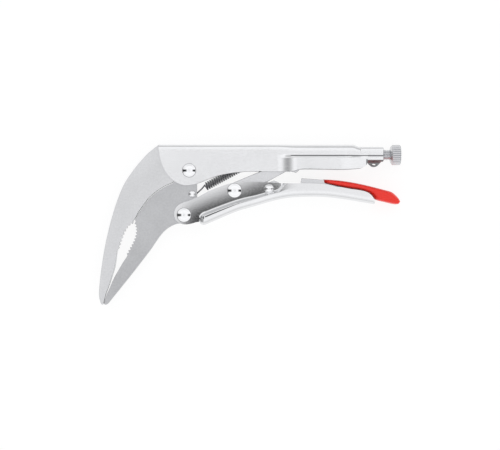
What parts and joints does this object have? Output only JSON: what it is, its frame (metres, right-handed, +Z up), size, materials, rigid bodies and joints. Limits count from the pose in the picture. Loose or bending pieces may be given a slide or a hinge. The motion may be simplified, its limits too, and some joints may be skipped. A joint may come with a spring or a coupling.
{
  "type": "locking pliers",
  "caption": "Locking pliers with long jaws bent down to one side, a toggle linkage, an adjusting screw with a fluted knob and a release lever with a moulded grip.",
  "frame": {"origin": "centre of the bounding box in plan, on the plane that the tool lies on", "axes": "+X from the jaws to the adjusting knob, along the longest extent; +Y from the lower to the upper handle; +Z up through the thickness, along the shortest extent"},
  "size_m": [0.1999, 0.1062, 0.016],
  "materials": {
    "plated_sheet": "bright plated pressed sheet, polished on the cheeks",
    "satin_forging": "fine satin blasted and plated forging",
    "plated_bar": "plated, lightly brushed",
    "plated_screw": "plated, turned",
    "polished_rivet": "polished domed heads",
    "black_wire": "blackened spring wire",
    "red_plastic": "smooth moulded plastic"
  },
  "bodies": {
    "fixed_side": {"upper_handle": "plated_sheet", "upper_jaw": "satin_forging", "jaw_pivot_rivet": "polished_rivet", "opening_spring": "black_wire"},
    "moving_jaw": {"lower_jaw": "satin_forging", "spring_pin": "polished_rivet"},
    "moving_handle": {"lower_handle": "plated_sheet", "handle_pivot_rivet": "polished_rivet", "link_rivet": "polished_rivet", "lever_rivet": "polished_rivet"},
    "link": {"toggle_link": "plated_bar"},
    "lever": {"release_lever": "plated_bar", "lever_grip": "red_plastic"},
    "screw": {"adjusting_screw": "plated_screw"},
    "knob": {"screw_knob": "plated_screw"}
  },
  "joints": [
    {"name": "handle_pivot", "type": "hinge", "parent": "moving_jaw", "child": "moving_handle", "pos_m": [-0.0435, 0.0063, 0.008], "axis": [0, 0, 1], "range_deg": [-51.2, 0]},
    {"name": "jaw_pivot", "type": "hinge", "parent": "fixed_side", "child": "moving_jaw", "pos_m": [-0.0401, 0.0358, 0.008], "axis": [0, 0, 1], "range_deg": [0, 20.1], "deforming": ["opening_spring"]},
    {"name": "link_pivot", "type": "hinge", "parent": "moving_handle", "child": "link", "pos_m": [-0.0101, 0.0225, 0.008], "axis": [0, 0, 1], "range_deg": [0, 54.9]},
    {"name": "lever_pivot", "type": "hinge", "parent": "moving_handle", "child": "lever", "pos_m": [0.0127, 0.0236, 0.008], "axis": [0, 0, 1], "range_deg": [0, 8]},
    {"name": "knob_turn", "type": "hinge", "parent": "screw", "child": "knob", "pos_m": [0.0964, 0.0462, 0.008], "axis": [1, 0, 0], "range_deg": [0, 3600]},
    {"name": "screw_travel", "type": "slide", "parent": "fixed_side", "child": "screw", "axis": [1, 0, 0], "range_m": [0, 0.0101]}
  ],
  "couplings": [
    {"joint": "jaw_pivot", "follows": "handle_pivot", "ratio": -0.3908},
    {"joint": "link_pivot", "follows": "handle_pivot", "ratio": -1.0697},
    {"joint": "screw_travel", "follows": "knob_turn", "m_per_rad": 0.00015915}
  ]
}
